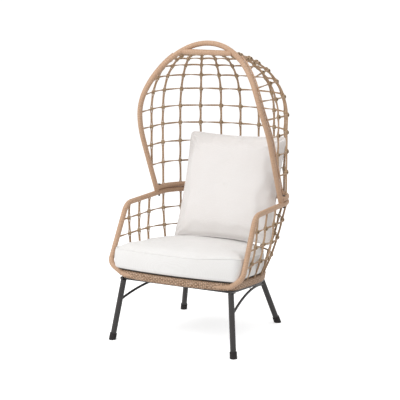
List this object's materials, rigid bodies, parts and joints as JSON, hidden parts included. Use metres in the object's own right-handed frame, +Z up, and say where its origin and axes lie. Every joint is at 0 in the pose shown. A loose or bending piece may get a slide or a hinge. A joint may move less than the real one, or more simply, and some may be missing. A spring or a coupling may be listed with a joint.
{
  "type": "standing egg chair",
  "caption": "Standing egg chair: wicker-wrapped hoop and open rope net on a tub seat, splayed dark steel legs, loose seat cushion and back pillow.",
  "frame": {"origin": "on the floor, under the middle of the chair's outline", "axes": "+Z up, +X to the sitter's left, -Y to the front, where the sitter looks"},
  "size_m": [0.7374, 0.7859, 1.4409],
  "materials": {
    "black_steel": "satin",
    "foot_rubber": "matt",
    "plated_steel": "satin",
    "black_fixings": "satin",
    "webbing": "woven",
    "core_steel": "satin",
    "band_wicker": "woven",
    "wrapped_wicker": "wound",
    "net_wicker": "twisted",
    "cushion_cloth": "woven",
    "pillow_cloth": "woven"
  },
  "bodies": {
    "chair": {"leg_front_left": "black_steel", "leg_front_right": "black_steel", "leg_rear_left": "black_steel", "leg_rear_right": "black_steel", "foot_front_left": "foot_rubber", "foot_front_right": "foot_rubber", "foot_rear_left": "foot_rubber", "foot_rear_right": "foot_rubber", "side_rail_left": "black_steel", "side_rail_right": "black_steel", "front_cross_bar": "black_steel", "rear_cross_bar": "black_steel", "side_brace_left": "black_steel", "side_brace_right": "black_steel", "seat_bolts": "plated_steel", "seat_rim_tube": "core_steel", "seat_rim_weave": "band_wicker", "seat_support_bars": "black_steel", "seat_straps": "webbing", "arm_rail_tube": "core_steel", "arm_rail_wrap": "wrapped_wicker", "tub_strands_left": "net_wicker", "tub_strands_back": "net_wicker", "tub_strands_right": "net_wicker", "tub_ring_low": "net_wicker", "tub_ring_middle": "net_wicker", "tub_ring_high": "net_wicker", "hood_rail_tube": "core_steel", "hood_rail_wrap": "wrapped_wicker", "hood_hoop_tube": "core_steel", "hood_hoop_wrap": "wrapped_wicker", "hood_edge_cords": "net_wicker", "hood_bar_tube": "core_steel", "hood_bar_wrap": "wrapped_wicker", "hood_strands_left": "net_wicker", "hood_strands_back": "net_wicker", "hood_strands_right": "net_wicker", "hood_ring_1": "net_wicker", "hood_ring_2": "net_wicker", "hood_ring_3": "net_wicker", "hood_ring_4": "net_wicker", "hood_ring_5": "net_wicker", "hood_ring_6": "net_wicker", "hood_ring_7": "net_wicker", "hood_ring_8": "net_wicker", "hood_ring_9": "net_wicker", "hood_ring_10": "net_wicker", "hood_bolts": "black_fixings", "hood_nuts": "black_fixings"},
    "seat_cushion": {"seat_cushion": "cushion_cloth"},
    "back_pillow": {"back_pillow": "pillow_cloth"}
  },
  "joints": [
    {"name": "seat_cushion_lift", "type": "slide", "parent": "chair", "child": "seat_cushion", "axis": [0, -0.8, 0.6], "range_m": [0, 0.12]},
    {"name": "back_pillow_lift", "type": "slide", "parent": "seat_cushion", "child": "back_pillow", "axis": [-0.1498, -0.9286, 0.3395], "range_m": [0, 0.35]}
  ]
}
